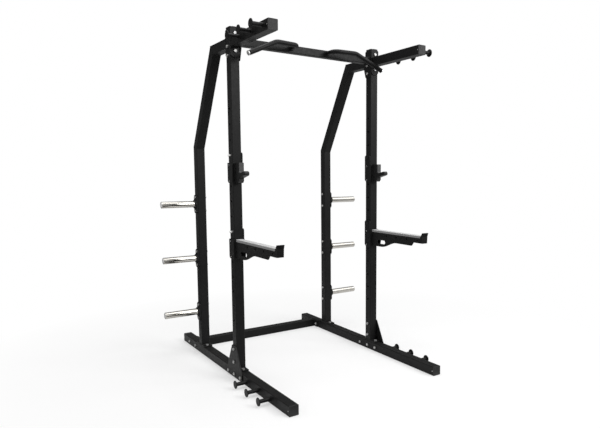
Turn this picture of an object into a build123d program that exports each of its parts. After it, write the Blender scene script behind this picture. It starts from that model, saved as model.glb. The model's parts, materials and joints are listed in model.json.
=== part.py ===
from build123d import *
import os

# A free-standing half cage for barbell training, in millimetres.
# +Z is up, the lifter walks in from -Y, and the origin is on the floor in the middle of the rails.

# Frame tube
tube = 63.5
tube_wall = 3.0
tube_corner = 5.0

# Frame layout
frame_width = 1120.0
rail_length = 1805.0
front_overhang = 756.0
upright_spacing = 660.0
cross_spacing = 180.0
upright_top = 2312.0
arm_drop = 96.0
arm_reach = 565.0
bend_low_height = 1573.0
bend_high_reach = 288.0

# Plates and caps
plate = 8.0
gusset_plate = 6.0
plate_corner = 6.0
cap_flange = 5.0
cap_plug = 22.0
cap_gap = 0.2
cap_edge = 1.2

# Bolts
bolt_d = 12.0
bolt_hole_d = 13.0
bolt_head_flats = 19.0
bolt_head = 7.5
nut_height = 10.0
nut_gap = 0.1
bolt_end = 2.0

# Foot plates and base gussets
foot_length = 170.0
foot_bolt_offset = 60.0
gusset_top = 228.0
gusset_shoulder = 50.0
gusset_foot_gap = 8.0
gusset_half = 122.0
gusset_bolt_span = 98.0
gusset_bolt_low = 115.0
gusset_bolt_high = 203.0

# Rear crossmember
cross_flange_length = 172.0
cross_flange_drop = 4.0
cross_bolt_span = 68.0

# Top joint flanges and pull-up beam
flange_height = 190.0
flange_chamfer = 16.0
flange_bolt_span = 55.0
beam = 50.0
beam_wall = 3.0
beam_corner = 4.0
beam_rise = 10.0
beam_flange_half = 50.0
beam_flange_toe_half = 26.0
beam_flange_shoulder_drop = 46.0
beam_flange_drop = 122.0
beam_bolt_high_drop = 37.0
beam_bolt_low_drop = 94.0

# Pull-up grips, from the beam out to the free end
grip_d = 32.0
grip_wall = 3.0
grip_root_x = 145.0
grip_rise = 5.0
grip_reach = 122.0
grip_root_bend = 45.0
grip_elbow_x = 315.0
grip_elbow_reach = 140.0
grip_elbow_bend = 90.0
grip_tip_x = 524.0
grip_tip_reach = 162.0
grip_tip_drop = 100.0
plug_head = 5.0
plug_depth = 14.0
plug_gap = 0.2

# Adjustment holes in the sides of the front uprights
hole_d = 16.5
hole_pitch = 100.0
hole_count = 15
hole_first = 400.0
hook_hole = 11
spotter_hole = 6

# Plate pegs
peg_d = 48.3
peg_wall = 4.0
peg_length = 256.0
peg_edge = 5.0
peg_first = 331.0
peg_pitch = 411.0
peg_count = 3
peg_spigot_d = 38.0
peg_gap = 0.15
peg_flange_height = 138.0
peg_flange_chamfer = 14.0
peg_bolt_span = 50.0
peg_collar_d = 66.0
peg_collar = 13.0
peg_collar_edge = 3.0

# Band pegs
band_peg_d = 25.0
band_peg_length = 84.0
band_disc_d = 52.0
band_disc = 6.0
band_disc_edge = 2.0
band_peg_pitch = 167.0
band_peg_count = 3
rail_peg_first = 189.0
arm_peg_first = 179.0

# Brackets of the hooks and spotter arms
slide_gap = 0.4
bracket_top = 48.0
bracket_drop = 178.0
bracket_chamfer = 12.0
ear_rise = 20.0
ear_corner = 14.0
bracket_bend = 6.0
pin_d = 16.0
pin_gap = 0.1
pin_stickout = 16.0
pin_tip_chamfer = 3.0
pin_head_d = 22.0
pin_head = 3.0

# Barbell hooks
hook_width = 38.0
cheek = 5.0
hook_depth = 62.0
hook_seat = 119.0
hook_lip_reach = 82.0
hook_tip_top = 102.0
hook_tip_bottom = 128.0
hook_root_bottom = 147.0
hook_chamfer = 14.0
hook_seat_fillet = 12.0
hook_tip_fillet = 11.0
liner_proud = 2.5

# Spotter arms, heights below the pin and reaches from the upright's middle
arm_width = 46.0
arm_plate = 6.0
pad = 16.0
pad_top = 48.0
pad_edge = 3.0
pad_end_gap = 0.5
lip_top = 27.0
lip_root = 590.0
lip_back = 612.0
lip_front = 618.0
lip_front_lean = 3.0
lip_flare = 8.0
lip_flare_drop = 50.0
arm_bottom = 100.0
step_reach = 523.0
step_run = 21.0
belly = 125.5
belly_fillet = 10.0
wave_end = 336.0
wave_start = 155.0
wave_pull = 67.0
heel = 170.0
window_length = 100.0
window_height = 28.0
window_reach = 153.0
window_drop = 134.0
root_reach = 87.0
root_slope = 16.0
pad_hole_d = 16.0
pad_hole_count = 4
pad_hole_first = 214.0
pad_hole_pitch = 116.0
pad_hole_drop = 80.0

# Worked out from the sizes above
half_tube = tube / 2
upright_x = frame_width / 2
inner_x = upright_x - half_tube
outer_x = upright_x + half_tube
upright_y = front_overhang - rail_length / 2
rear_y = upright_y + upright_spacing
cross_y = rear_y + cross_spacing
rail_middle = tube / 2
foot_top = tube + plate
arm_height = upright_top - arm_drop
beam_height = arm_height + beam_rise
beam_front = upright_y - beam / 2
grip_height = beam_height + grip_rise
gusset_bolt_heights = (gusset_bolt_low, gusset_bolt_high)
beam_bolt_heights = (beam_height - beam_bolt_low_drop, beam_height - beam_bolt_high_drop)
bracket_back = half_tube
bracket_inner = half_tube + slide_gap
bracket_front = bracket_inner + plate
hook_pin_z = hole_first + hole_pitch * hook_hole
spotter_pin_z = hole_first + hole_pitch * spotter_hole
peg_heights = [peg_first + peg_pitch * step for step in range(peg_count)]
hole_heights = [hole_first + hole_pitch * step for step in range(hole_count)]


# Shared shapes

def tube_section(size, wall, corner):
    """The hollow square section of a tube, as a flat face."""
    return RectangleRounded(size, size, corner) - RectangleRounded(
        size - 2 * wall, size - 2 * wall, corner - wall)


def frame_tube(start, end):
    """A straight length of frame tube between two points."""
    axis = Vector(*end) - Vector(*start)
    across = Vector(1, 0, 0) if abs(axis.X) < 1 else Vector(0, 1, 0)
    base = Plane(origin=start, x_dir=across, z_dir=axis.normalized())
    return extrude(base * tube_section(tube, tube_wall, tube_corner), axis.length)


def mitred_tube(points):
    """Lengths of frame tube along a bent line, cut at the half angle where they meet."""
    spots = [Vector(*point) for point in points]
    ways = [(end - start).normalized() for start, end in zip(spots, spots[1:])]
    cuts = [Plane(origin=spot, z_dir=before + after)
            for spot, before, after in zip(spots[1:], ways, ways[1:])]
    lengths = []
    for step, way in enumerate(ways):
        first, last = step == 0, step == len(ways) - 1
        start = spots[step] if first else spots[step] - way * tube
        end = spots[step + 1] if last else spots[step + 1] + way * tube
        piece = frame_tube(start, end)
        if not first:
            piece = split(piece, bisect_by=cuts[step - 1], keep=Keep.TOP)
        if not last:
            piece = split(piece, bisect_by=cuts[step], keep=Keep.BOTTOM)
        lengths.append(piece)
    return lengths[0] + lengths[1:]


def drill(point, direction, diameter, length):
    """A drill through a point, half its length to each side."""
    base = Plane(origin=point, z_dir=direction)
    return extrude(base * Circle(diameter / 2), length / 2, both=True)


def side_plate(points, x0, x1, fillets=()):
    """A plate cut to a side outline of (y, z) points, lying between two x positions."""
    face = make_face(Polyline(*points, close=True))
    for point, radius in fillets:
        face = fillet(face.vertices().sort_by_distance((*point, 0))[0], radius)
    return extrude(Plane.YZ.offset(x0) * face, x1 - x0)


def end_cap(seat, outward):
    """A push-in tube cap: a flange over the tube's end and a plug inside it."""
    base = Plane(origin=seat, x_dir=(1, 0, 0), z_dir=outward)
    flange = extrude(RectangleRounded(tube, tube, tube_corner), cap_flange)
    flange = fillet(flange.faces().sort_by(Axis.Z)[-1].edges(), cap_edge)
    inside = tube - 2 * (tube_wall + cap_gap)
    plug = extrude(RectangleRounded(inside, inside, tube_corner - tube_wall), -cap_plug)
    return base * (flange + plug)


def bolt(seat, direction, grip):
    """A hex bolt whose head sits at a point and whose shank runs through grip and nut."""
    base = Plane(origin=seat, z_dir=direction)
    head = extrude(RegularPolygon(bolt_head_flats / 2, 6, major_radius=False), -bolt_head)
    shank = extrude(Circle(bolt_d / 2), grip + nut_height + bolt_end)
    return base * (head + shank)


def nut(seat, direction, grip):
    """The nut at the far side of the same bolt."""
    base = Plane(origin=seat, z_dir=direction).offset(grip)
    blank = RegularPolygon(bolt_head_flats / 2, 6, major_radius=False)
    return base * extrude(blank - Circle(bolt_d / 2 + nut_gap), nut_height)


def both_sides(name, piece):
    """A right-hand piece and its mirror image on the left."""
    nodes[name + "_right"] = [piece]
    nodes[name + "_left"] = [mirror(piece, about=Plane.YZ)]


def mirrored(pieces):
    """A list of right-hand pieces followed by their left-hand twins."""
    return pieces + [mirror(piece, about=Plane.YZ) for piece in pieces]


nodes = {}

# Fasteners: each is a seat point, a direction and the thickness that it clamps
across = (-1, 0, 0)
outward = (1, 0, 0)
foot_seats = [((upright_x, y + side * foot_bolt_offset, foot_top), (0, 0, -1), plate + tube_wall)
              for y in (upright_y, rear_y) for side in (-1, 1)]
gusset_seats = [((outer_x + gusset_plate, upright_y, z), across, gusset_plate + tube)
                for z in gusset_bolt_heights]
gusset_seats += [((outer_x + gusset_plate, upright_y + step * gusset_bolt_span, rail_middle),
                  across, gusset_plate + tube) for step in (-1, 0, 1)]
top_seats = [((upright_x, upright_y - half_tube - plate, arm_height + side * flange_bolt_span),
              (0, 1, 0), tube + 2 * plate) for side in (-1, 1)]
beam_seats = [((inner_x - plate, upright_y, z), outward, plate + tube) for z in beam_bolt_heights]
cross_seats = [((outer_x, cross_y + side * cross_bolt_span, rail_middle), across, tube + plate)
               for side in (-1, 1)]
peg_seats = [((outer_x + plate, rear_y, z + side * peg_bolt_span), across, plate + tube)
             for z in peg_heights for side in (-1, 1)]


def bolt_holes(seats):
    """Clearance holes for a set of fasteners, long enough to pass everything they clamp."""
    return [drill(Vector(*seat) + Vector(*direction) * (grip / 2), direction, bolt_hole_d,
                  grip + bolt_head) for seat, direction, grip in seats]


# Base rails, lying front to back on the floor
rail = frame_tube((upright_x, cap_flange - rail_length / 2, rail_middle),
                  (upright_x, rail_length / 2 - cap_flange, rail_middle))
rail -= bolt_holes(foot_seats) + bolt_holes(gusset_seats) + bolt_holes(cross_seats)
both_sides("base_rail", rail)
nodes["rail_end_caps"] = mirrored(
    [end_cap((upright_x, side * (rail_length / 2 - cap_flange), rail_middle), (0, side, 0))
     for side in (-1, 1)])


# Foot plates under the uprights, bolted to the rails
def foot_plate(y):
    base = Plane(origin=(upright_x, y, tube))
    blank = extrude(base * RectangleRounded(tube, foot_length, plate_corner), plate)
    return blank - bolt_holes(foot_seats)


nodes["front_foot_plates"] = mirrored([foot_plate(upright_y)])
nodes["rear_foot_plates"] = mirrored([foot_plate(rear_y)])

# Front uprights, standing on their foot plates
upright = frame_tube((upright_x, upright_y, foot_top),
                     (upright_x, upright_y, upright_top - cap_flange))
adjustment_holes = [drill((upright_x, upright_y, z), outward, hole_d, 2 * tube)
                    for z in hole_heights]
upright -= adjustment_holes + bolt_holes(gusset_seats + top_seats + beam_seats)
both_sides("front_upright", upright)
nodes["upright_caps"] = mirrored(
    [end_cap((upright_x, upright_y, upright_top - cap_flange), (0, 0, 1))])


# The top joint's two like flanges clamp the front upright between arm and rear upright
def top_flange(y):
    outline = chamfer(Rectangle(tube, flange_height).vertices(), flange_chamfer)
    base = Plane(origin=(upright_x, y, arm_height), x_dir=(1, 0, 0), z_dir=(0, 1, 0))
    return extrude(base * outline, plate)


# Rear uprights, mitred to lean forward and meet the front uprights
rear_flange_y = upright_y + half_tube
rear_upright = mitred_tube([
    (upright_x, rear_y, foot_top), (upright_x, rear_y, bend_low_height),
    (upright_x, upright_y + bend_high_reach, arm_height),
    (upright_x, rear_flange_y + plate, arm_height)])
rear_upright += top_flange(rear_flange_y)
rear_upright -= bolt_holes(peg_seats + top_seats)
both_sides("rear_upright", rear_upright)

# Top arms, reaching forward over the lifter
arm_root_y = upright_y - half_tube - plate
arm_tip_y = upright_y - arm_reach + cap_flange
top_arm = frame_tube((upright_x, arm_tip_y, arm_height), (upright_x, arm_root_y, arm_height))
top_arm += top_flange(arm_root_y)
top_arm -= bolt_holes(top_seats)
both_sides("top_arm", top_arm)
nodes["arm_end_caps"] = mirrored([end_cap((upright_x, arm_tip_y, arm_height), (0, -1, 0))])

# Base gussets, bolted over the outside of the corner between upright and rail
gusset_outline = [(upright_y + side * half, z)
                  for side, half, z in ((-1, half_tube, gusset_top), (1, half_tube, gusset_top),
                                        (1, gusset_half, gusset_shoulder),
                                        (1, gusset_half, gusset_foot_gap),
                                        (-1, gusset_half, gusset_foot_gap),
                                        (-1, gusset_half, gusset_shoulder))]
gusset = side_plate(gusset_outline, outer_x, outer_x + gusset_plate,
                    [(point, plate_corner) for point in gusset_outline])
gusset -= bolt_holes(gusset_seats)
both_sides("base_gusset", gusset)

# Rear crossmember with its end flanges
cross_end = inner_x - plate
crossmember = frame_tube((-cross_end, cross_y, rail_middle), (cross_end, cross_y, rail_middle))
cross_base = Plane(origin=(cross_end, cross_y, rail_middle), x_dir=(0, 1, 0), z_dir=(1, 0, 0))
cross_flange = extrude(cross_base * RectangleRounded(
    cross_flange_length, tube - 2 * cross_flange_drop, plate_corner), plate)
cross_flange -= bolt_holes(cross_seats)
crossmember += mirrored([cross_flange])
nodes["rear_crossmember"] = [crossmember]

# Pull-up beam with its hanging flanges
beam_end = inner_x - plate
beam_base = Plane(origin=(-beam_end, upright_y, beam_height), x_dir=(0, 1, 0), z_dir=(1, 0, 0))
pull_up_beam = extrude(beam_base * tube_section(beam, beam_wall, beam_corner), 2 * beam_end)
beam_top = beam_height + beam / 2
beam_flange_shoulder = beam_height - beam_flange_shoulder_drop
beam_flange_bottom = beam_height - beam_flange_drop
beam_flange_outline = [(upright_y + side * half, z)
                       for side, half, z in ((-1, beam_flange_half, beam_top),
                                             (1, beam_flange_half, beam_top),
                                             (1, beam_flange_half, beam_flange_shoulder),
                                             (1, beam_flange_toe_half, beam_flange_bottom),
                                             (-1, beam_flange_toe_half, beam_flange_bottom),
                                             (-1, beam_flange_half, beam_flange_shoulder))]
beam_flange = side_plate(beam_flange_outline, beam_end, inner_x,
                         [(point, plate_corner) for point in beam_flange_outline])
beam_flange -= bolt_holes(beam_seats)
pull_up_beam += mirrored([beam_flange])
nodes["pull_up_beam"] = [pull_up_beam]

# Pull-up grips: bent round tube from the beam's front face to a free, plugged end
grip_path = FilletPolyline(
    (grip_root_x, beam_front, grip_height),
    (grip_root_x, upright_y - grip_reach, grip_height),
    (grip_elbow_x, upright_y - grip_elbow_reach, grip_height),
    (grip_tip_x, upright_y - grip_tip_reach, grip_height - grip_tip_drop),
    radius=(grip_root_bend, grip_elbow_bend))
grip_base = Plane(origin=grip_path @ 0, z_dir=grip_path % 0)
grip_section = Circle(grip_d / 2) - Circle(grip_d / 2 - grip_wall)
both_sides("pull_up_grip", sweep(grip_base * grip_section, path=grip_path))
plug_base = Plane(origin=grip_path @ 1, z_dir=grip_path % 1)
plug = extrude(Circle(grip_d / 2), plug_head)
plug = fillet(plug.faces().sort_by(Axis.Z)[-1].edges(), plug_head / 2)
plug += extrude(Circle(grip_d / 2 - grip_wall - plug_gap), -plug_depth)
nodes["grip_end_plugs"] = mirrored([plug_base * plug])

# Plate pegs: a chrome tube with a rounded end, seated on the collar of its own flange by a spigot
for name, peg_z in zip(("low", "middle", "high"), peg_heights):
    peg_base = Plane(origin=(outer_x + plate, rear_y, peg_z), x_dir=(0, 1, 0), z_dir=outward)
    peg = extrude(Plane.XY.offset(peg_collar) * Circle(peg_d / 2), peg_length - peg_collar)
    peg = fillet(peg.faces().sort_by(Axis.Z)[-1].edges(), peg_edge)
    peg += extrude(Circle(peg_spigot_d / 2), peg_collar)
    peg -= extrude(Circle(peg_spigot_d / 2 - peg_wall), peg_length - peg_wall)
    both_sides("plate_peg_" + name, peg_base * peg)


def peg_flange(peg_z):
    base = Plane(origin=(outer_x, rear_y, peg_z), x_dir=(0, 1, 0), z_dir=outward)
    outline = chamfer(Rectangle(tube, peg_flange_height).vertices(), peg_flange_chamfer)
    collar_base = Plane.XY.offset(plate)
    collar = extrude(collar_base * Circle(peg_collar_d / 2), peg_collar)
    collar = chamfer(collar.faces().sort_by(Axis.Z)[-1].edges(), peg_collar_edge)
    collar -= extrude(collar_base * Circle(peg_spigot_d / 2 + peg_gap), peg_collar)
    return base * (extrude(outline, plate) + collar)


flanges = [peg_flange(peg_z) - bolt_holes(peg_seats) for peg_z in peg_heights]
nodes["peg_flanges_right"] = flanges
nodes["peg_flanges_left"] = [mirror(flange, about=Plane.YZ) for flange in flanges]


# Band pegs: a stub with an end disc, three on each rail and three on each arm
def band_peg(y, z):
    base = Plane(origin=(outer_x, y, z), x_dir=(0, 1, 0), z_dir=outward)
    shaft = extrude(Circle(band_peg_d / 2), band_peg_length)
    disc = extrude(Plane.XY.offset(band_peg_length - band_disc) * Circle(band_disc_d / 2), band_disc)
    disc = fillet(disc.edges(), band_disc_edge)
    return base * (shaft + disc)


for name, first, z in (("rail", rail_peg_first, rail_middle), ("arm", arm_peg_first, arm_height)):
    pegs = [band_peg(upright_y - first - band_peg_pitch * step, z) for step in range(band_peg_count)]
    nodes[name + "_band_pegs_right"] = pegs
    nodes[name + "_band_pegs_left"] = [mirror(peg, about=Plane.YZ) for peg in pegs]


# The bracket that wraps an upright: a short outer plate, a front wall and a tall inner plate
def at_upright(points, pin_z):
    """Outline points given from the upright's middle and the pin, as (y, z) in the frame."""
    return [(upright_y + y, pin_z + z) for y, z in points]


def bracket(pin_z):
    low = -bracket_drop
    short = at_upright([(bracket_back, low + bracket_chamfer), (bracket_back - bracket_chamfer, low),
                        (-bracket_front, low), (-bracket_front, -bracket_top),
                        (bracket_back, -bracket_top)], pin_z)
    tall = at_upright([(bracket_back, low + bracket_chamfer), (bracket_back - bracket_chamfer, low),
                       (-bracket_front, low), (-bracket_front, -bracket_top),
                       (-half_tube, -bracket_top), (-half_tube, ear_rise),
                       (bracket_back, ear_rise)], pin_z)
    ear = [(point, ear_corner) for point in tall[-2:]]
    outer = side_plate(short, upright_x + bracket_inner, upright_x + bracket_front)
    inner = side_plate(tall, upright_x - bracket_front, upright_x - bracket_inner, ear)
    front = side_plate(at_upright([(-bracket_front, low), (-bracket_front, -bracket_top),
                                   (-bracket_inner, -bracket_top), (-bracket_inner, low)], pin_z),
                       upright_x - bracket_front, upright_x + bracket_front)
    ear_hole = drill((upright_x - bracket_inner, upright_y, pin_z), outward,
                     pin_d + 2 * pin_gap, 4 * plate)
    wrap = outer + (inner - ear_hole) + front
    return fillet(wrap.edges().filter_by(Axis.Z).sort_by(Axis.Y)[:2], bracket_bend)


def bracket_pin(pin_z):
    """The pin: a head inside the tall plate, a shank through the upright and a pointed tip."""
    base = Plane(origin=(upright_x - bracket_front, upright_y, pin_z), x_dir=(0, 1, 0), z_dir=outward)
    shank = extrude(Circle(pin_d / 2), bracket_front + half_tube + pin_stickout)
    shank = chamfer(shank.faces().sort_by(Axis.Z)[-1].edges(), pin_tip_chamfer)
    return base * (shank + extrude(Circle(pin_head_d / 2), -pin_head))


# Barbell hooks: steel cheeks on the bracket with a plastic liner between them
def hook_outline(proud):
    face_y = -half_tube - hook_depth - proud
    tip_y = face_y - hook_lip_reach
    seat = (face_y, -hook_seat + proud)
    tip = [(tip_y, -hook_tip_top + proud), (tip_y, -hook_tip_bottom)]
    heel_y = -half_tube - hook_depth
    points = [(-bracket_front, -bracket_top), (face_y, -bracket_top), seat, *tip,
              (heel_y, -hook_root_bottom), (heel_y, -bracket_drop + hook_chamfer),
              (heel_y + hook_chamfer, -bracket_drop), (-bracket_front, -bracket_drop)]
    rounds = [(seat, hook_seat_fillet)] + [(point, hook_tip_fillet) for point in tip]
    spots = at_upright(points, hook_pin_z)
    return spots, list(zip(at_upright([point for point, r in rounds], hook_pin_z),
                           [r for point, r in rounds]))


def hook_slice(proud, x0, x1):
    points, rounds = hook_outline(proud)
    return side_plate(points, upright_x + x0, upright_x + x1, rounds)


hook_half = hook_width / 2
core_half = hook_half - cheek
hook_bracket = (bracket(hook_pin_z) + hook_slice(0, -hook_half, -core_half)
                + hook_slice(0, core_half, hook_half))
both_sides("hook_bracket", hook_bracket)
both_sides("hook_liner", hook_slice(liner_proud, -core_half, core_half))
both_sides("hook_pin", bracket_pin(hook_pin_z))


# Spotter arms: an inverted channel with an upturned end, whose left side is a deep wavy plate.
# The two arms are the same part, so neither is a mirror image of the other.
channel_top = -pad_top - pad
channel_outline = [(-bracket_front, -arm_bottom), (-bracket_front, channel_top),
                   (-lip_root, channel_top), (-lip_back, -lip_top),
                   (-lip_front - lip_flare, -lip_top), (-lip_front, -lip_flare_drop),
                   (-lip_front + lip_front_lean, -arm_bottom)]


def deep_plate_face():
    wave = Bezier((-wave_end, -belly), (-wave_end + wave_pull, -belly),
                  (-wave_start - wave_pull, -heel), (-wave_start, -heel))
    outline = Polyline((-wave_start, -heel), (-bracket_front, -heel), *channel_outline[1:],
                       (-step_reach, -arm_bottom), (-step_reach + step_run, -belly),
                       (-wave_end, -belly))
    face = make_face(outline.edges() + wave.edges())
    toe = face.vertices().sort_by_distance((-step_reach + step_run, -belly, 0))[0]
    face = fillet(toe, belly_fillet)
    return face - Pos(-window_reach, -window_drop) * SlotOverall(window_length, window_height)


def spotter_arm(centre_x):
    side = Plane(origin=(centre_x - arm_width / 2, upright_y, spotter_pin_z), x_dir=(0, 1, 0),
                 z_dir=outward)
    channel = extrude(side * make_face(Polyline(*channel_outline, close=True)), arm_width)
    nose = -lip_front + lip_front_lean + arm_plate
    roof = channel_top - arm_plate
    hollow = make_face(Polyline((-bracket_front, roof), (nose, roof), (nose, -arm_bottom),
                                (-bracket_front, -arm_bottom), close=True))
    channel -= extrude(side.offset(arm_plate) * hollow, arm_width - 2 * arm_plate)
    row = [Pos(-pad_hole_first - pad_hole_pitch * step, -pad_hole_drop) * Circle(pad_hole_d / 2)
           for step in range(pad_hole_count)]
    channel -= [extrude(side * hole, arm_plate) for hole in row]
    root = make_face(Polyline((-bracket_front, -arm_bottom), (-bracket_front, -heel),
                              (-root_reach, -heel), (-root_reach - root_slope, -arm_bottom), close=True))
    channel += extrude(side.offset(arm_width - arm_plate) * root, arm_plate)
    return channel + extrude(side * (deep_plate_face() - row), arm_plate)


nodes["spotter_arm_right"] = [spotter_arm(upright_x)]
nodes["spotter_arm_left"] = [spotter_arm(-upright_x)]
both_sides("spotter_bracket", bracket(spotter_pin_z))
both_sides("spotter_pin", bracket_pin(spotter_pin_z))
pad_length = lip_root - bracket_front - pad_end_gap
pad_base = Plane(origin=(upright_x, upright_y - bracket_front, spotter_pin_z - pad_top - pad))
spotter_pad = extrude(pad_base * Rectangle(arm_width, pad_length, align=(Align.CENTER, Align.MAX)), pad)
spotter_pad = fillet(spotter_pad.faces().sort_by(Axis.Z)[-1].edges(), pad_edge)
both_sides("spotter_pad", spotter_pad)

# Bolts and nuts, one pair of groups for each joint
for name, seats in (("foot", foot_seats), ("gusset", gusset_seats), ("top_joint", top_seats),
                    ("beam", beam_seats), ("crossmember", cross_seats), ("peg", peg_seats)):
    nodes[name + "_bolts"] = mirrored([bolt(*seat) for seat in seats])
    nodes[name + "_nuts"] = mirrored([nut(*seat) for seat in seats])

# One file for each node
os.makedirs("parts", exist_ok=True)
for name, pieces in nodes.items():
    solids = [solid for piece in pieces for solid in piece.solids()]
    export_step(solids[0] if len(solids) == 1 else Compound(solids), f"parts/{name}.step")
print(len(nodes), "nodes")
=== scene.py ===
# %% [markdown]
# # Dressing a half cage for barbell training
#
# The rack is square steel tube under black powder coat, bolted together, with chrome pegs for
# plates, pinned hooks for the barbell and pale plastic pads on the spotter arms. The solid model
# already holds every size, so this lesson never moves it. It adds what a solid model leaves out:
# finishes, light, weld beads, machined bolts and small screws.

# %% Load the solid model
import json
import math
import random

import bmesh
import bpy
import numpy as np
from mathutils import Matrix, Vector


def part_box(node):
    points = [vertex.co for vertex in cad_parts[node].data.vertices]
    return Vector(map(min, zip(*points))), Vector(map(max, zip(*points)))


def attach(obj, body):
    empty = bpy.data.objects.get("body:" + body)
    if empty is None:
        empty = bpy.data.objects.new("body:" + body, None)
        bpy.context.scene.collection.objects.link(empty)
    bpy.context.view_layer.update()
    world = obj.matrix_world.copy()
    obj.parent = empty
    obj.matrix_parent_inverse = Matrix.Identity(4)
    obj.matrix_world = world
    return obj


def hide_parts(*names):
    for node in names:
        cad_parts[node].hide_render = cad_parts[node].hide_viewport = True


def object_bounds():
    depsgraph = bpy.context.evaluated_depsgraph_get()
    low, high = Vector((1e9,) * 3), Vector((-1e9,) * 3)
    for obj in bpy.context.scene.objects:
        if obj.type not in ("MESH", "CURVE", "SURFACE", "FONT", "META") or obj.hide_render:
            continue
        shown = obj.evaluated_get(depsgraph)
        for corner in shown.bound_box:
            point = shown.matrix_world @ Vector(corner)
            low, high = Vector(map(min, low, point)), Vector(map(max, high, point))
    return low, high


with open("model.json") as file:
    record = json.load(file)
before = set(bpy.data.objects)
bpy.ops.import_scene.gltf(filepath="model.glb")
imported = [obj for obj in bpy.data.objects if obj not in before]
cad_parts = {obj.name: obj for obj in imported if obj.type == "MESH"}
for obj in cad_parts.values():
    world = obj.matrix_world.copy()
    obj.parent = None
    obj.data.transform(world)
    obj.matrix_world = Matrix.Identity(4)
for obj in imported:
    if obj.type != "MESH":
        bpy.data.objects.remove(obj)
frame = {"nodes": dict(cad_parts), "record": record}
nodes = frame["nodes"]
cad_low, cad_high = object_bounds()
print(len(nodes), "solid nodes, highest corner", tuple(round(v, 4) for v in cad_high))

# %% [markdown]
# ## The camera
#
# The picture to match was taken from the front left, at chest height and about four metres away.
# A lens can be guessed by eye, but here the numbers were worked out from the edges of the tubes,
# whose directions fix the angle, the distance and the focal length together. The two shifts slide
# the frame over the view, as a cropped picture does, and leave the perspective alone.

# %% Camera
scene = bpy.context.scene
camera_data = bpy.data.cameras.new("photo_camera")
camera_data.sensor_width = 36.0
camera_data.lens = 33.472
camera_data.shift_x = -0.0955
camera_data.shift_y = 0.0287
camera = bpy.data.objects.new("photo_camera", camera_data)
camera.location = (-2.0540, -3.6094, 1.3850)
camera.rotation_euler = [math.radians(angle) for angle in (84.068, -0.033, -35.608)]
scene.collection.objects.link(camera)
scene.camera = camera
scene.view_settings.view_transform = "Standard"
print("camera at", tuple(round(v, 3) for v in camera.location))

# %% [markdown]
# ## Small helpers for shader nodes
#
# A material in Blender is a small network. Writing every node and link out by hand hides the idea,
# so one helper adds a node and fills its sockets: a socket given as a value is linked, and any
# other value is set. The others cover the sums, colour mixes and changes of range that come up
# most.

# %% Node helpers


def add_node(tree, kind, inputs=None, **settings):
    made = tree.nodes.new(kind)
    for name, value in settings.items():
        setattr(made, name, value)
    for key, value in (inputs or {}).items():
        if isinstance(value, bpy.types.NodeSocket):
            tree.links.new(value, made.inputs[key])
        else:
            made.inputs[key].default_value = value
    return made


def sum_of(tree, operation, first, second):
    return add_node(tree, "ShaderNodeMath", {0: first, 1: second}, operation=operation).outputs[0]


def mixed(tree, factor, first, second):
    made = add_node(tree, "ShaderNodeMix", {0: factor, 6: first, 7: second}, data_type="RGBA")
    return made.outputs[2]


def spread(tree, value, low, high, to_low, to_high):
    sockets = {0: value, 1: low, 2: high, 3: to_low, 4: to_high}
    return add_node(tree, "ShaderNodeMapRange", sockets).outputs[0]


def ramp(tree, value, start, end):
    """0 up to the start, 1 from the end on, and even in between."""
    return spread(tree, value, start, end, 0.0, 1.0)


def between(tree, share, low, high):
    """A share from 0 to 1, moved into another range."""
    return spread(tree, share, 0.0, 1.0, low, high)


print("node helpers ready")

# %% [markdown]
# ## Floor and world
#
# The rack stands on a plain white ground that runs out to a white background. The floor is a real
# surface, so it keeps the soft shadow that seats the rails, and it fades to plain white away from
# the rack, so that no horizon line shows. The world is white where the camera, a mirror or a
# glass looks at it, and a little dimmer as a lamp, so that colours come out about as written.

# %% Floor
floor_radius = 40.0
floor_drop = 0.0008
fade_start, fade_end = 1.0, 2.6
glow_near, glow_far = 0.45, 1.0


def disc_floor(radius):
    shape = bmesh.new()
    bmesh.ops.create_circle(shape, cap_ends=True, radius=radius, segments=96)
    mesh = bpy.data.meshes.new("studio_floor")
    shape.to_mesh(mesh)
    shape.free()
    made = bpy.data.objects.new("studio_floor", mesh)
    scene.collection.objects.link(made)
    return made


floor = disc_floor(floor_radius)
floor.location.z = -floor_drop
floor_paint = bpy.data.materials.new("studio_floor_paint")
floor_paint.use_nodes = True
tree = floor_paint.node_tree
matte = tree.nodes["Principled BSDF"]
matte.inputs["Base Color"].default_value = (0.94, 0.94, 0.94, 1.0)
matte.inputs["Roughness"].default_value = 0.9
matte.inputs["Specular IOR Level"].default_value = 0.1
place = add_node(tree, "ShaderNodeTexCoord")
away = add_node(tree, "ShaderNodeVectorMath", {0: place.outputs["Object"]}, operation="LENGTH")
path = add_node(tree, "ShaderNodeLightPath")
fade = spread(tree, away.outputs["Value"], fade_start, fade_end, glow_near, glow_far)
seen = sum_of(tree, "MULTIPLY", fade, path.outputs["Is Camera Ray"])
glow = add_node(tree, "ShaderNodeEmission", {"Strength": 1.0})
cover = add_node(tree, "ShaderNodeMixShader", {0: seen, 1: matte.outputs[0], 2: glow.outputs[0]})
tree.links.new(cover.outputs[0], tree.nodes["Material Output"].inputs["Surface"])
floor.data.materials.append(floor_paint)
print("floor", tuple(floor.dimensions))

# %% World
level_as_lamp, level_in_view = 0.50, 1.0
world = bpy.data.worlds.new("studio_world")
scene.world = world
world.use_nodes = True
tree = world.node_tree
path = add_node(tree, "ShaderNodeLightPath")
shown = sum_of(tree, "MAXIMUM", path.outputs["Is Camera Ray"], path.outputs["Is Glossy Ray"])
shown = sum_of(tree, "MAXIMUM", shown, path.outputs["Is Transmission Ray"])
strength = between(tree, shown, level_as_lamp, level_in_view)
sky = tree.nodes["Background"]
sky.inputs["Color"].default_value = (1.0, 1.0, 1.0, 1.0)
tree.links.new(strength, sky.inputs["Strength"])
print("world ready")

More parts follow.
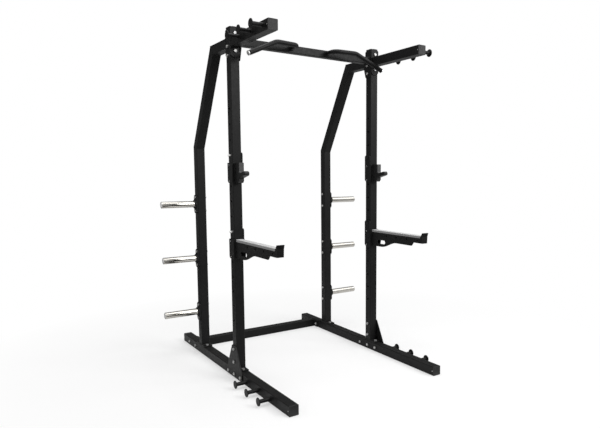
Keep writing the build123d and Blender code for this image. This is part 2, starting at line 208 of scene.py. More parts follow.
# %% [markdown]
# ## Lamps
#
# Black satin metal shows shape only by what it mirrors, so the lamps are large and soft. One hangs
# high at the front right, where the front faces of the uprights mirror it, and makes them lighten
# towards the top. A smaller one hangs at the right and aims at the rear. One stands at the left
# rear for the side faces, and one hangs overhead.

# %% Lamps


def soft_lamp(name, place, target, width, height, power):
    data = bpy.data.lights.new(name, "AREA")
    data.shape = "RECTANGLE"
    data.size = width
    data.size_y = height
    data.energy = power
    lamp = bpy.data.objects.new(name, data)
    lamp.location = place
    aim = Vector(target) - Vector(place)
    lamp.rotation_euler = aim.to_track_quat("-Z", "Y").to_euler()
    scene.collection.objects.link(lamp)
    return lamp


lamps = [
    soft_lamp("front_lamp", (2.2, -4.4, 3.3), (0.0, 0.0, 1.5), 2.4, 1.2, 125.0),
    soft_lamp("side_lamp", (-4.6, 2.4, 2.2), (0.0, 0.0, 1.0), 2.4, 2.4, 24.0),
    soft_lamp("right_lamp", (4.0, -2.1, 4.8), (0.6, 0.5, 0.7), 1.5, 1.5, 26.0),
    soft_lamp("top_lamp", (0.0, -0.6, 5.2), (0.0, 0.0, 0.0), 3.4, 3.4, 110.0),
]
print(len(lamps), "lamps")

# %% [markdown]
# A photographer also stands dark cards about, out of the picture, because black paint and chrome
# look flat with white on every side. Here two lie on the ground, one in front and one at the left
# rear, and three stand far behind. Only reflections see them: they throw no shadow and take no
# light from the floor.

# %% Dark cards
card_lift = 0.002
card_back = 7.0


def dark_card(name, corners, level):
    mesh = bpy.data.meshes.new(name)
    mesh.from_pydata(corners, [], [(0, 1, 2, 3)])
    paint = bpy.data.materials.new(name + "_paint")
    paint.use_nodes = True
    tree = paint.node_tree
    colour = (level, level, level, 1.0)
    glow = add_node(tree, "ShaderNodeEmission", {"Color": colour, "Strength": 1.0})
    tree.links.new(glow.outputs[0], tree.nodes["Material Output"].inputs["Surface"])
    mesh.materials.append(paint)
    card = bpy.data.objects.new(name, mesh)
    scene.collection.objects.link(card)
    for ray in ("camera", "diffuse", "transmission", "volume_scatter", "shadow"):
        setattr(card, "visible_" + ray, False)
    return card


def rectangle(low_a, low_b, high_a, high_b):
    return [(low_a, low_b), (high_a, low_b), (high_a, high_b), (low_a, high_b)]


def lying(low_x, low_y, high_x, high_y):
    return [(x, y, card_lift) for x, y in rectangle(low_x, low_y, high_x, high_y)]


def standing(low_x, low_z, high_x, high_z):
    return [(x, card_back, z) for x, z in rectangle(low_x, low_z, high_x, high_z)]


cards = [dark_card("front_card", lying(-3.5, -5.5, 3.5, -0.93), 0.04),
         dark_card("left_card", lying(-6.0, 0.9, -0.75, 6.9), 0.08),
         dark_card("left_back_card", standing(-9.0, 0.2, 0.6, 2.7), 0.22),
         dark_card("high_back_card", standing(-9.0, 2.7, 0.6, 8.0), 0.04),
         dark_card("right_back_card", standing(0.6, 0.9, 16.0, 9.0), 0.08)]
print(len(cards), "dark cards")

# %% [markdown]
# ## Effects that several finishes share
#
# A node group is built once and placed in each material with its own numbers. Five effects come up
# again and again here. Broken edges: cut plate and tube never end in a perfect corner, so one
# group rounds the shading at edges and marks them; the powder coat turns that mark into a painted
# highlight. Cloudiness: no sprayed or plated surface has quite the same tone all over. Grain:
# powder coat dries to a fine orange peel, and moulded plastic has small cells. Drawn lines:
# polishing and planing leave fine lines in one direction. Dust settles on whatever faces up.

# %% Group helpers


def new_group(name, inputs, outputs):
    group = bpy.data.node_groups.new(name, "ShaderNodeTree")
    for label, kind, value in inputs:
        socket = group.interface.new_socket(label, in_out="INPUT", socket_type="NodeSocket" + kind)
        if value is not None:
            socket.default_value = value
    for label, kind in outputs:
        group.interface.new_socket(label, in_out="OUTPUT", socket_type="NodeSocket" + kind)
    return group, group.nodes.new("NodeGroupInput"), group.nodes.new("NodeGroupOutput")


def deliver(group, target, sockets):
    for label, socket in sockets.items():
        group.links.new(socket, target.inputs[label])


print("group helpers ready")

# %% The five effects


def broken_edges():
    group, given, target = new_group(
        "broken_edges", [("Radius", "Float", 0.0012)], [("Mask", "Float"), ("Normal", "Vector")])
    rounded = add_node(group, "ShaderNodeBevel", {"Radius": given.outputs["Radius"]}, samples=6)
    flat = add_node(group, "ShaderNodeNewGeometry")
    agree = add_node(group, "ShaderNodeVectorMath",
                     {0: rounded.outputs[0], 1: flat.outputs["Normal"]}, operation="DOT_PRODUCT")
    mask = ramp(group, agree.outputs["Value"], 0.995, 0.86)
    deliver(group, target, {"Mask": mask, "Normal": rounded.outputs[0]})
    return group


def cloudiness():
    group, given, target = new_group(
        "cloudiness", [("Vector", "Vector", None), ("Scale", "Float", 8.0)], [("Value", "Float")])
    sockets = {"Vector": given.outputs["Vector"], "Scale": given.outputs["Scale"]}
    noise = add_node(group, "ShaderNodeTexNoise", {**sockets, "Detail": 4.0})
    deliver(group, target, {"Value": ramp(group, noise.outputs[0], 0.3, 0.7)})
    return group


def grain():
    group, given, target = new_group(
        "grain", [("Vector", "Vector", None), ("Scale", "Float", 600.0), ("Cells", "Float", 0.0)],
        [("Height", "Float")])
    sockets = {"Vector": given.outputs["Vector"], "Scale": given.outputs["Scale"]}
    peel = add_node(group, "ShaderNodeTexNoise", {**sockets, "Detail": 2.0})
    cells = add_node(group, "ShaderNodeTexVoronoi", sockets)
    fine = add_node(group, "ShaderNodeMix",
                    {0: given.outputs["Cells"], 2: peel.outputs[0], 3: cells.outputs["Distance"]})
    deliver(group, target, {"Height": fine.outputs[0]})
    return group


def drawn_lines():
    group, given, target = new_group(
        "drawn_lines", [("Vector", "Vector", None), ("Stretch", "Vector", (1.0, 1.0, 1.0))],
        [("Height", "Float")])
    sockets = {0: given.outputs["Vector"], 1: given.outputs["Stretch"]}
    pulled = add_node(group, "ShaderNodeVectorMath", sockets, operation="MULTIPLY")
    noise = add_node(group, "ShaderNodeTexNoise",
                     {"Vector": pulled.outputs[0], "Scale": 1.0, "Detail": 3.0})
    deliver(group, target, {"Height": noise.outputs[0]})
    return group


def settled_dust():
    group, given, target = new_group(
        "settled_dust", [("Vector", "Vector", None), ("Amount", "Float", 0.05)],
        [("Mask", "Float")])
    facing = add_node(group, "ShaderNodeTexCoord")
    upward = add_node(group, "ShaderNodeSeparateXYZ", {0: facing.outputs["Normal"]})
    flat = ramp(group, upward.outputs["Z"], 0.6, 0.95)
    noise = add_node(group, "ShaderNodeTexNoise",
                     {"Vector": given.outputs["Vector"], "Scale": 26.0, "Detail": 6.0})
    patch = spread(group, noise.outputs[0], 0.35, 0.75, 0.2, 1.0)
    mask = sum_of(group, "MULTIPLY", flat, patch)
    mask = sum_of(group, "MULTIPLY", mask, given.outputs["Amount"])
    deliver(group, target, {"Mask": mask})
    return group


effects = {made.name: made for made in
           (broken_edges(), cloudiness(), grain(), drawn_lines(), settled_dust())}
print("shared effects:", ", ".join(effects))

# %% [markdown]
# ## The finishes
#
# Each finish is one Principled shader. The plain numbers, such as how metallic it is, are set on
# the shader, and the groups give what changes over the surface. Every pattern is laid out in the
# object's own coordinates, in metres, so a scale of 600 makes features about 1.7 mm across, and
# the pattern moves with a hook or an arm when it swings.

# %% Finish helpers


def new_finish(name, metallic=0.0, specular=0.5):
    made = bpy.data.materials.new(name)
    made.use_nodes = True
    shader = made.node_tree.nodes["Principled BSDF"]
    shader.inputs["Metallic"].default_value = metallic
    shader.inputs["Specular IOR Level"].default_value = specular
    where = add_node(made.node_tree, "ShaderNodeTexCoord").outputs["Object"]
    return made, made.node_tree, shader, where


def effect(tree, name, inputs):
    return add_node(tree, "ShaderNodeGroup", inputs, node_tree=effects[name]).outputs


def off_middle(tree, where):
    """How far a point lies from the middle of the rack, to the left or to the right."""
    spot = add_node(tree, "ShaderNodeSeparateXYZ", {0: where})
    return sum_of(tree, "ABSOLUTE", spot.outputs["X"], 0.0)


def bumped(tree, shader, height, depth, strength, normal=None):
    sockets = {"Height": height, "Distance": depth, "Strength": strength}
    if normal is not None:
        sockets["Normal"] = normal
    bump = add_node(tree, "ShaderNodeBump", sockets)
    tree.links.new(bump.outputs[0], shader.inputs["Normal"])


def grey(value, warm=0.0):
    return (value * (1 + warm), value, value * (1 - warm), 1.0)


coat_black = grey(0.006)
dust_grey = grey(0.20, 0.03)
print("finish helpers ready")

# %% [markdown]
# ### Black powder coat
#
# Powder is sprayed dry and melted in an oven, and dries to a satin skin with a faint orange peel.
# A new rack shows no rust or chips. The edges get a painted highlight, a shade lighter where they
# would catch the lamps, and a breath of dust lies on what faces up.

# %% Black powder coat


def powder_coat():
    made, tree, shader, where = new_finish("satin_powder_coat", specular=0.14)
    edge = effect(tree, "broken_edges", {"Radius": 0.0014})
    cloud = effect(tree, "cloudiness", {"Vector": where, "Scale": 7.0})["Value"]
    sheen = effect(tree, "cloudiness", {"Vector": where, "Scale": 45.0})["Value"]
    dust = effect(tree, "settled_dust", {"Vector": where, "Amount": 0.02})["Mask"]
    black = mixed(tree, cloud, grey(0.0050), grey(0.0075))
    # painted highlight: the edge mark lightens the black towards grey along every edge
    painted_edge_highlight = sum_of(tree, "MULTIPLY", edge["Mask"], 0.6)
    black = mixed(tree, painted_edge_highlight, black, grey(0.050))
    black = mixed(tree, dust, black, dust_grey)
    tree.links.new(black, shader.inputs["Base Color"])
    tree.links.new(between(tree, sheen, 0.40, 0.50), shader.inputs["Roughness"])
    peel = effect(tree, "grain", {"Vector": where, "Scale": 620.0})["Height"]
    bumped(tree, shader, peel, 0.0003, 0.30, edge["Normal"])
    return made


finishes = {"black_coat": powder_coat()}
print("made", finishes["black_coat"].name)

# %% [markdown]
# ### Moulded black plastic
#
# The tube caps are moulded with a fine cell grain, which scatters light and makes them look
# greyer than the coat beside them.

# %% Cap plastic


def cap_plastic():
    made, tree, shader, where = new_finish("grained_cap_plastic", specular=0.4)
    edge = effect(tree, "broken_edges", {"Radius": 0.0008})
    cloud = effect(tree, "cloudiness", {"Vector": where, "Scale": 30.0})["Value"]
    dust = effect(tree, "settled_dust", {"Vector": where, "Amount": 0.06})["Mask"]
    black = mixed(tree, cloud, grey(0.010), grey(0.016))
    black = mixed(tree, dust, black, dust_grey)
    tree.links.new(black, shader.inputs["Base Color"])
    tree.links.new(between(tree, cloud, 0.56, 0.68), shader.inputs["Roughness"])
    cells = effect(tree, "grain", {"Vector": where, "Scale": 900.0, "Cells": 0.8})["Height"]
    bumped(tree, shader, cells, 0.0006, 0.6, edge["Normal"])
    return made


finishes["black_plastic"] = cap_plastic()
print("made", finishes["black_plastic"].name)

# %% [markdown]
# ### Chrome and zinc
#
# The plate pegs are polished tube under chrome: nearly a mirror, with hair-thin lines round the
# peg from the polishing wheel. Their end faces are painted pale and satin, a painted highlight that
# makes them read bright. The bolts are zinc plated, so they are duller and their tone drifts
# between a blue and a yellow grey. The plugs in the grips have the same plating, but brighter.

# %% Chrome and zinc
peg_end_highlight = (0.8545, 0.8555)


def chrome_plate():
    made, tree, shader, where = new_finish("polished_chrome", metallic=1.0)
    smear = effect(tree, "cloudiness", {"Vector": where, "Scale": 18.0})["Value"]
    tone = mixed(tree, smear, (0.44, 0.425, 0.395, 1.0), (0.52, 0.505, 0.47, 1.0))
    # painted highlight: the peg end faces turn pale grey and satin
    end = ramp(tree, off_middle(tree, where), *peg_end_highlight)
    tree.links.new(mixed(tree, end, tone, grey(0.95)), shader.inputs["Base Color"])
    polish = between(tree, smear, 0.10, 0.15)
    satin = sum_of(tree, "MULTIPLY", end, 0.5)
    tree.links.new(sum_of(tree, "MAXIMUM", polish, satin), shader.inputs["Roughness"])
    stretch = (2600.0, 9.0, 9.0)
    lines = effect(tree, "drawn_lines", {"Vector": where, "Stretch": stretch})["Height"]
    bumped(tree, shader, lines, 0.000003, 0.1)
    return made


def zinc_plate(name, dark, light, rough):
    made, tree, shader, where = new_finish(name, metallic=1.0)
    edge = effect(tree, "broken_edges", {"Radius": 0.0006})
    drift = effect(tree, "cloudiness", {"Vector": where, "Scale": 70.0})["Value"]
    blue = (dark, dark * 1.02, dark * 1.07, 1.0)
    yellow = (light, light * 0.98, light * 0.92, 1.0)
    tree.links.new(mixed(tree, drift, blue, yellow), shader.inputs["Base Color"])
    tree.links.new(between(tree, drift, rough, rough + 0.12), shader.inputs["Roughness"])
    stretch = (900.0, 900.0, 900.0)
    lines = effect(tree, "drawn_lines", {"Vector": where, "Stretch": stretch})["Height"]
    bumped(tree, shader, lines, 0.00008, 0.3, edge["Normal"])
    return made


finishes["chrome"] = chrome_plate()
finishes["bright_steel"] = zinc_plate("zinc_plate", 0.38, 0.46, 0.48)
plug_finish = zinc_plate("fresh_zinc_plate", 0.70, 0.78, 0.22)
print("made", finishes["chrome"].name, "and", finishes["bright_steel"].name)

# %% [markdown]
# The pins of the hooks and arms are bright where they slide through an upright, but their head is
# coated together with the bracket. Both are one solid, so the finish looks at how far a point is
# from the middle of the rack and changes from coat to steel behind the head.

# %% Pin steel
pin_head_end = (0.5215, 0.5225)


def pin_steel():
    made, tree, shader, where = new_finish("pin_steel", specular=0.3)
    drift = effect(tree, "cloudiness", {"Vector": where, "Scale": 90.0})["Value"]
    bare = ramp(tree, off_middle(tree, where), *pin_head_end)
    steel = mixed(tree, drift, (0.80, 0.80, 0.79, 1.0), (0.90, 0.89, 0.87, 1.0))
    tree.links.new(mixed(tree, bare, coat_black, steel), shader.inputs["Base Color"])
    tree.links.new(bare, shader.inputs["Metallic"])
    tree.links.new(between(tree, drift, 0.45, 0.58), shader.inputs["Roughness"])
    stretch = (1800.0, 14.0, 14.0)
    lines = effect(tree, "drawn_lines", {"Vector": where, "Stretch": stretch})["Height"]
    bumped(tree, shader, lines, 0.00005, 0.3)
    return made


pin_finish = pin_steel()
print("made", pin_finish.name)

# %% [markdown]
# ### Liner and pad plastic
#
# The hooks carry a mid-grey plastic tongue and the spotter arms a pale pad, both of the dense
# plastic used for cutting boards. It is sawn and planed, so fine lines run along it, and barbells
# leave short grey rubs across the pad. The pad's sides carry a painted shade, darker than its top.
# The tongue is bare where a bar touches it, and black at its tip and heel like the hook that holds
# it.

# %% Liner and pad plastic
liner_heel_z = (1.372, 1.382)
liner_tip_y = (-0.320, -0.313)


def sawn_plastic(name, dark, light, stretch):
    """A plastic with lines along it. Its colour is handed back, to be mixed further and linked."""
    made, tree, shader, where = new_finish(name, specular=0.4)
    edge = effect(tree, "broken_edges", {"Radius": 0.0010})
    cloud = effect(tree, "cloudiness", {"Vector": where, "Scale": 22.0})["Value"]
    lines = effect(tree, "drawn_lines", {"Vector": where, "Stretch": stretch})["Height"]
    tree.links.new(spread(tree, lines, 0.3, 0.7, 0.42, 0.58), shader.inputs["Roughness"])
    bumped(tree, shader, lines, 0.0002, 0.3, edge["Normal"])
    return made, tree, shader, where, mixed(tree, cloud, dark, light)


def pad_plastic():
    made, tree, shader, where, tone = sawn_plastic(
        "spotter_pad_plastic", grey(0.56), grey(0.64), (700.0, 12.0, 700.0))
    across = (6.0, 260.0, 60.0)
    streak = effect(tree, "drawn_lines", {"Vector": where, "Stretch": across})["Height"]
    tone = mixed(tree, spread(tree, streak, 0.62, 0.78, 0.0, 0.5), tone, grey(0.36))
    facing = add_node(tree, "ShaderNodeTexCoord").outputs["Normal"]
    upward = add_node(tree, "ShaderNodeSeparateXYZ", {0: facing}).outputs["Z"]
    # painted shade: faces that do not face up turn dark grey, and the top keeps the plastic's tone
    top_free_of_painted_shade = ramp(tree, upward, 0.3, 0.9)
    tree.links.new(mixed(tree, top_free_of_painted_shade, grey(0.22), tone), shader.inputs["Base Color"])
    return made


def liner_plastic():
    made, tree, shader, where, tone = sawn_plastic(
        "hook_liner_plastic", grey(0.045), grey(0.060), (700.0, 30.0, 30.0))
    spot = add_node(tree, "ShaderNodeSeparateXYZ", {0: where})
    above = ramp(tree, spot.outputs["Z"], *liner_heel_z)
    within = ramp(tree, spot.outputs["Y"], *liner_tip_y)
    bare = sum_of(tree, "MULTIPLY", above, within)
    tree.links.new(mixed(tree, bare, coat_black, tone), shader.inputs["Base Color"])
    return made


finishes["grey_plastic"] = liner_plastic()
finishes["pale_plastic"] = pad_plastic()
print("made", finishes["grey_plastic"].name, "and", finishes["pale_plastic"].name)

# %% [markdown]
# ### Painting the solids
#
# The record says which slot each solid belongs to, so painting is one loop. It fills the slots of
# the imported objects and leaves their shape alone. Pins and plugs have a finish of their own.

# %% Paint the solids
special = {"hook_pin": pin_finish, "spotter_pin": pin_finish, "grip_end_plugs": plug_finish}
for part in frame["record"]["subparts"]:
    mesh = nodes[part["node"]].data
    mesh.materials.clear()
    kind = part["node"].replace("_left", "").replace("_right", "")
    mesh.materials.append(special.get(kind, finishes[part["material_slot"]]))

# %% [markdown]
# ## Building meshes from rings
#
# Bolts, screws and weld beads are all stacks of rings. A lathe turns a profile of radius and
# height into such a stack, and a rule for the radius at each angle makes the rings six-sided
# where a spanner has to grip. Each shape is a list of points and a list of faces until the end,
# so that a whole group becomes one mesh.

# %% Ring helpers
bolt_sides = 36


def rings_to_faces(ring_count, side_count, closed):
    faces = []
    for ring in range(ring_count if closed else ring_count - 1):
        here, following = ring * side_count, (ring + 1) % ring_count * side_count
        for side in range(side_count):
            beside = (side + 1) % side_count
            faces.append((here + side, here + beside, following + beside, following + side))
    return faces


def capped(points, faces, side_count):
    """Closes both ends of a stack of rings with one face each."""
    last = len(points) - side_count
    faces.append(tuple(range(side_count - 1, -1, -1)))
    faces.append(tuple(range(last, last + side_count)))
    return points, faces


def ring_points(profile, side_count):
    """Rings round +Z. A profile row is a radius or a rule of the angle, and a height or a rule."""
    points = []
    for radius, height in profile:
        for side in range(side_count):
            turn = 2 * math.pi * side / side_count
            out = radius(turn) if callable(radius) else radius
            up = height(turn) if callable(height) else height
            points.append((out * math.cos(turn), out * math.sin(turn), up))
    return points


def lathe(profile, side_count):
    points = ring_points(profile, side_count)
    return capped(points, rings_to_faces(len(profile), side_count, False), side_count)


print("ring helpers ready")

# %% Piece helpers
sharp_angle = math.radians(38)


def placed(shape, place, axis):
    """The same shape with its +Z turned along an axis and its origin at a place."""
    points, faces = shape
    turn = Vector(axis).to_track_quat("Z", "X")
    return [tuple(Vector(place) + turn @ Vector(point)) for point in points], faces


def joined(shapes):
    points, faces = [], []
    for shape_points, shape_faces in shapes:
        start = len(points)
        points += shape_points
        faces += [tuple(start + index for index in face) for face in shape_faces]
    return points, faces


def make_piece(name, shapes, finish, body, stands_for=()):
    points, faces = joined(shapes)
    mesh = bpy.data.meshes.new(name)
    mesh.from_pydata(points, [], faces)
    mesh.shade_smooth()
    mesh.set_sharp_from_angle(angle=sharp_angle)
    mesh.materials.append(finish)
    made = bpy.data.objects.new(name, mesh)
    scene.collection.objects.link(made)
    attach(made, body)
    if stands_for:
        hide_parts(*stands_for)
    return made


print("piece helpers ready")

# %% [markdown]
# ## Bolts and nuts
#
# The solid model holds each bolt as a plain six-sided head and a plain shank. A real head is
# turned before it is plated: a cone cuts its six corners, so each flat ends in an arc, and the top
# is a little dished. The tip has a chamfer and its last threads show past the nut. The lesson reads
# where each bolt sits from the solid model itself and puts the finer one in its place.

# %% Read the bolts' places
same_point = 1e-5
same_level = 1e-4


def separate_solids(node):
    """The corner points of each separate solid in a CAD node."""
    shape = bmesh.new()
    shape.from_mesh(nodes[node].data)
    bmesh.ops.remove_doubles(shape, verts=shape.verts, dist=same_point)
    left, found = set(shape.verts), []
    for first in shape.verts:
        if first not in left:
            continue
        left.remove(first)
        edge = [first]
        members = [first]
        while edge:
            near = {e.other_vert(v) for v in edge for e in v.link_edges} & left
            left -= near
            edge = list(near)
            members += edge
        found.append(np.array([v.co for v in members]))
    shape.free()
    return found


def long_axis(points):
    """The ends of a bolt on its own axis, head first."""
    low, high = points.min(0), points.max(0)
    along = int(np.argmax(high - low))
    ends = []
    for level in (low[along], high[along]):
        end = (low + high) / 2
        end[along] = level
        rim = points[np.abs(points[:, along] - level) < same_level]
        ends.append((np.ptp(np.delete(rim, along, 1), axis=0).max(), end))
    ends.sort(key=lambda item: -item[0])
    return Vector(ends[0][1]), Vector(ends[1][1])


joints_bolted = ("foot", "gusset", "top_joint", "beam", "crossmember", "peg")
bolt_places = {name: [long_axis(points) for points in separate_solids(name + "_bolts")]
               for name in joints_bolted}
print({name: len(found) for name, found in bolt_places.items()})

# %% Machined bolt and nut
flats = 0.019
bolt_radius = 0.006
head_height = 0.0075
cone_slope, cone_start = 0.6, 0.965
thread_turns, thread_pitch, thread_depth = 3, 0.0015, 0.0008
thread_length, thread_lead = 0.0060, 0.0005
tip_cut, tip_rise = 0.0018, 0.0006
nut_height = 0.010
nut_standoff = 0.002
bore_gap, bore_chamfer = 0.0001, 0.0008


def hexagon(turn, share=1.0):
    return share * flats / 2 / math.cos((turn + math.pi / 6) % (math.pi / 3) - math.pi / 6)


def corner_drop(turn):
    """How far a 30 degree cone cuts below the top at a corner of the hexagon."""
    return cone_slope * max(0.0, hexagon(turn) - cone_start * flats / 2)


def machined_bolt(length):
    """A bolt along +Z with the top of its head at the origin."""
    top = [(bolt_radius * 0.55, 0.0007), (flats * 0.36, 0.0003), (flats * 0.46, 0.0)]
    head = [(hexagon, corner_drop), (hexagon, head_height), (bolt_radius, head_height)]
    thread = [(bolt_radius, length - thread_length - thread_lead)]
    for step in range(thread_turns):
        level = length - thread_length + step * thread_pitch
        thread += [(bolt_radius - thread_depth, level), (bolt_radius, level + thread_pitch / 2)]
    tip = [(bolt_radius - tip_cut / 2, length - tip_rise), (bolt_radius - tip_cut, length)]
    return lathe(top + head + thread + tip, bolt_sides)


def machined_nut():
    """A nut along +Z from the face that it clamps, with a chamfered bore."""
    bore, face = bolt_radius + bore_gap, flats * 0.475
    profile = [(bore, bore_chamfer), (bore + bore_chamfer, 0.0), (face, 0.0),
               (hexagon, corner_drop), (hexagon, lambda turn: nut_height - corner_drop(turn)),
               (face, nut_height),
               (bore + bore_chamfer, nut_height), (bore, nut_height - bore_chamfer)]
    return ring_points(profile, bolt_sides), rings_to_faces(len(profile), bolt_sides, True)


for name in joints_bolted:
    bolts, nuts = [], []
    for head, tip in bolt_places[name]:
        axis = (tip - head).normalized()
        bolts.append(placed(machined_bolt((tip - head).length), head, axis))
        nuts.append(placed(machined_nut(), tip - axis * (nut_height + nut_standoff), axis))
    for kind, shapes in (("bolts", bolts), ("nuts", nuts)):
        make_piece(f"machined_{name}_{kind}", shapes, finishes["bright_steel"], "frame",
                   [f"{name}_{kind}"])
print("bolts and nuts made")

# %% [markdown]
# ## Weld beads
#
# Tube is joined to plate by welding, and under the powder coat the bead still shows as a row of
# overlapping scales, like coins pushed over. A bump map could hint at it, but its outline is
# real, so each bead is swept along its corner as a small tube whose radius steps with each scale. A
# fixed seed gives each scale a slightly different size, the same at every run.

# %% Weld bead
bead_radius = {"upright": 0.0036, "plate": 0.0032, "grip": 0.0030, "bracket": 0.0030,
               "peg": 0.0026, "mitre": 0.0014}
bead_sides = 8
scale_pitch = 0.0042
rings_per_scale = 3
scale_sizes = (0.92, 1.06)
scale_swell, scale_sink = 1.04, 0.22
chance = random.Random(7)


def evenly(points, step, closed):
    """Points at equal steps along a line of straight pieces."""
    line = np.array(points + points[:1] if closed else points, float)
    lengths = np.concatenate([[0.0], np.cumsum(np.linalg.norm(np.diff(line, axis=0), axis=1))])
    count = max(4, int(round(lengths[-1] / step)))
    marks = np.linspace(0.0, lengths[-1], count, endpoint=not closed)
    return np.stack([np.interp(marks, lengths, line[:, k]) for k in range(3)], 1), marks


def weld_bead(points, flat_normal, kind, closed=True):
    """A row of scales along a line that lies on a face with the given normal."""
    spots, marks = evenly(points, scale_pitch / rings_per_scale, closed)
    ahead = np.roll(spots, -1, 0) - np.roll(spots, 1, 0)
    if not closed:
        ahead[0], ahead[-1] = spots[1] - spots[0], spots[-1] - spots[-2]
    ahead /= np.linalg.norm(ahead, axis=1)[:, None]
    normal = np.array(flat_normal, float)
    size = [chance.uniform(*scale_sizes) for _ in range(int(marks[-1] / scale_pitch) + 2)]
    made = []
    for spot, mark, direction in zip(spots, marks, ahead):
        step, part = divmod(mark / scale_pitch, 1.0)
        out = bead_radius[kind] * size[int(step)] * (scale_swell - scale_sink * part ** 2)
        across = np.cross(normal, direction)
        for side in range(bead_sides):
            turn = 2 * math.pi * side / bead_sides
            made.append(tuple(spot + out * (math.cos(turn) * across + math.sin(turn) * normal)))
    faces = rings_to_faces(len(spots), bead_sides, closed)
    return (made, faces) if closed else capped(made, faces, bead_sides)


print("weld bead helper ready")

# %% Lines to weld along
X, Y, Z = (1, 0, 0), (0, 1, 0), (0, 0, 1)


def square_loop(centre, size, corner, u, v):
    """A square with round corners, in the plane of two directions."""
    inside = size / 2 - corner
    loop = []
    for quarter in range(4):
        middle = math.pi / 4 + quarter * math.pi / 2
        base = (math.copysign(inside, math.cos(middle)), math.copysign(inside, math.sin(middle)))
        for step in range(5):
            turn = quarter * math.pi / 2 + step * math.pi / 8
            a, b = base[0] + corner * math.cos(turn), base[1] + corner * math.sin(turn)
            loop.append(tuple(Vector(centre) + a * Vector(u) + b * Vector(v)))
    return loop


def arc(centre, radius, u, v, start=0.0, end=360.0, count=48):
    turns = [math.radians(start + (end - start) * step / count) for step in range(count + 1)]
    return [tuple(Vector(centre) + radius * (math.cos(t) * Vector(u) + math.sin(t) * Vector(v)))
            for t in turns]


print("loop and arc helpers ready")

# %% Weld places on the frame
tube = 0.0635
half_tube = tube / 2
tube_corner = 0.005
beam_half, beam_corner = 0.025, 0.004
plate = 0.008
seam_low, seam_high = 0.008, 0.055
upright_low, upright_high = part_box("front_upright_right")
_, rear_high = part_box("rear_upright_right")
arm_low, arm_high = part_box("top_arm_right")
beam_low, beam_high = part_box("pull_up_beam")
cross_low, cross_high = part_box("rear_crossmember")
upright_x = (upright_low.x + upright_high.x) / 2
upright_y = (upright_low.y + upright_high.y) / 2
inner_x, outer_x = upright_low.x, upright_high.x
rear_y = rear_high.y - half_tube
cross_y = (cross_low.y + cross_high.y) / 2
arm_z = (arm_low.z + arm_high.z) / 2
beam_z = beam_high.z - beam_half
welds = []
for side in (-1, 1):
    x, plate_x = side * upright_x, side * (inner_x - plate)
    for y in (upright_y, rear_y):
        loop = square_loop((x, y, upright_low.z), tube, tube_corner, X, Y)
        welds.append(weld_bead(loop, Z, "upright"))
    for y in (upright_y - half_tube - plate, upright_y + half_tube + plate):
        loop = square_loop((x, y, arm_z), tube, tube_corner, X, Z)
        welds.append(weld_bead(loop, Y, "plate"))
    loop = square_loop((plate_x, upright_y, beam_z), 2 * beam_half, beam_corner, Y, Z)
    welds.append(weld_bead(loop, X, "plate"))
    for y in (cross_y - half_tube, cross_y + half_tube):
        ends = [(plate_x, y, z) for z in (seam_low, seam_high)]
        welds.append(weld_bead(ends, Y, "plate", False))
print(len(welds), "beads on tubes")

# %% [markdown]
# The rear uprights lean forward between two mitred cuts. Their welds were ground nearly flush, so
# they are low and narrow, and each lies in the slanting plane that halves the angle of its joint.

# %% Mitre welds
mitre_height = 1.573
mitre_reach = 0.288
bend_low = Vector((0.0, rear_y, mitre_height))
bend_high = Vector((0.0, upright_y + mitre_reach, arm_z))
ways = [Vector(Z), (bend_high - bend_low).normalized(), Vector((0.0, -1.0, 0.0))]
for corner, before, after in ((bend_low, ways[0], ways[1]), (bend_high, ways[1], ways[2])):
    normal = (before + after).normalized()
    slant = normal.cross(Vector(X)) / normal.dot(before)
    for side in (-1, 1):
        centre = corner + Vector((side * upright_x, 0.0, 0.0))
        welds.append(weld_bead(square_loop(centre, tube, tube_corner, X, slant), normal, "mitre"))
print(len(welds), "beads with the mitres")

# %% Round welds on the frame
both_sides = ((-1, "left"), (1, "right"))
grip_x, grip_radius = 0.145, 0.016
flange_overhang = 0.025
collar_radius, collar_arc = 0.033, 110.0
band_peg_radius = 0.0125
for side, name in both_sides:
    _, grip_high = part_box("pull_up_grip_" + name)
    root = (side * grip_x, beam_low.y + flange_overhang, grip_high.z - grip_radius)
    welds.append(weld_bead(arc(root, grip_radius, X, Z)[:-1], Y, "grip"))
    for level in ("low", "middle", "high"):
        low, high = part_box(f"plate_peg_{level}_{name}")
        centre = (side * (outer_x + plate), rear_y, (low.z + high.z) / 2)
        for start in (35.0, 215.0):
            line = arc(centre, collar_radius, Y, Z, start, start + collar_arc)
            welds.append(weld_bead(line, X, "peg", False))
    for group in ("rail", "arm"):
        for points in separate_solids(f"{group}_band_pegs_{name}"):
            middle = (points.min(0) + points.max(0)) / 2
            centre = (side * outer_x, middle[1], middle[2])
            welds.append(weld_bead(arc(centre, band_peg_radius, Y, Z)[:-1], X, "peg"))
make_piece("frame_weld_beads", welds, finishes["black_coat"], "frame")
print(len(welds), "beads on the frame")

# %% [markdown]
# The hooks and spotter arms are welded to the front wall of their brackets, so their beads ride
# with them when they swing. Each seam is given by its distance from the upright's middle and by
# the heights of its two ends, counted from the pin.

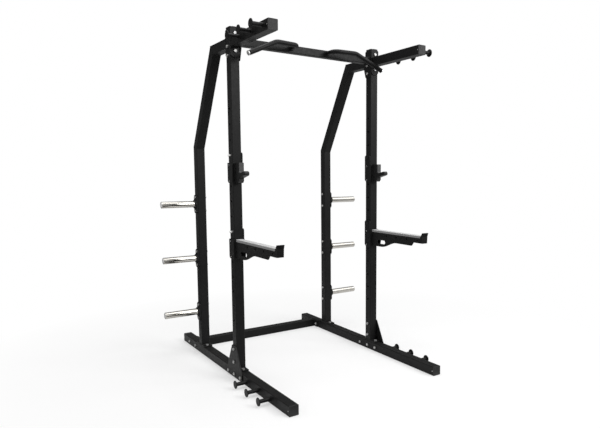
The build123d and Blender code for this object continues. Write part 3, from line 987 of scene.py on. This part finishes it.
# %% Welds on the hooks and arms
bracket_half = 0.04015
bracket_front = upright_y - bracket_half
pin_z = {"hook": 1.5, "spotter": 1.0}
seams = {"hook": (0.019, -0.174, -0.052), "spotter": (0.023, -0.165, -0.067)}
for side, name in both_sides:
    for kind, (aside, low, high) in seams.items():
        beads = []
        for face in (-1, 1):
            x = side * upright_x + face * aside
            ends = [(x, bracket_front, pin_z[kind] + level) for level in (low, high)]
            beads.append(weld_bead(ends, Y, "bracket", False))
        make_piece(f"{kind}_{name}_weld_beads", beads, finishes["black_coat"],
                   f"{kind}_{name}")
print("hook and arm beads made")

# %% [markdown]
# ## Small screws
#
# Button-head screws hold the brackets' sliding faces and the tube caps. A button head is
# a low dome with a six-sided socket sunk into it, so it is one lathe profile that climbs over the
# dome and goes down into the socket.

# %% Button screw
screw_sides = 24
shank_depth = 0.001


def button_screw(diameter):
    """A button head along +Z, with a little of its shank under the face that it sits on."""
    radius, rise = diameter / 2, diameter * 0.26
    socket = diameter * 0.26 / flats * 2
    shank = [(radius * 0.5, -shank_depth), (radius * 0.5, 0.0), (radius, 0.0)]
    dome = [(radius * math.cos(a), rise * math.sin(a)) for a in np.radians([18, 36, 54, 66])]
    rim = [(lambda turn: hexagon(turn, socket) * 1.06, rise * 0.95),
           (lambda turn: hexagon(turn, socket), rise * 0.90)]
    well = [(lambda turn: hexagon(turn, socket), rise * 0.25), (radius * 0.1, rise * 0.2)]
    return lathe(shank + dome + rim + well, screw_sides)


print("button screw ready")

# %% Place the screws
bracket_screw, cap_screw = 0.009, 0.008
screw_back = 0.008
screw_drops = (-0.062, -0.166)
rail_inset, arm_inset = 0.013, 0.008
for side, name in both_sides:
    x, y = side * upright_x, upright_y + screw_back
    for kind, z in pin_z.items():
        screws = [placed(button_screw(bracket_screw), (x + face * bracket_half, y, z + drop),
                         (face, 0, 0))
                  for face in (-1, 1) for drop in screw_drops]
        make_piece(f"{kind}_{name}_bracket_screws", screws, finishes["bright_steel"],
                   f"{kind}_{name}")
tube_ends = [(cad_low.y + rail_inset, half_tube), (cad_high.y - rail_inset, half_tube),
             (arm_low.y + arm_inset, arm_z)]
cap_screws = [placed(button_screw(cap_screw), (side * upright_x + face * half_tube, y, z),
                     (face, 0, 0))
              for side in (-1, 1) for face in (-1, 1) for y, z in tube_ends]
make_piece("tube_cap_screws", cap_screws, finishes["bright_steel"], "frame")
print("screws placed")
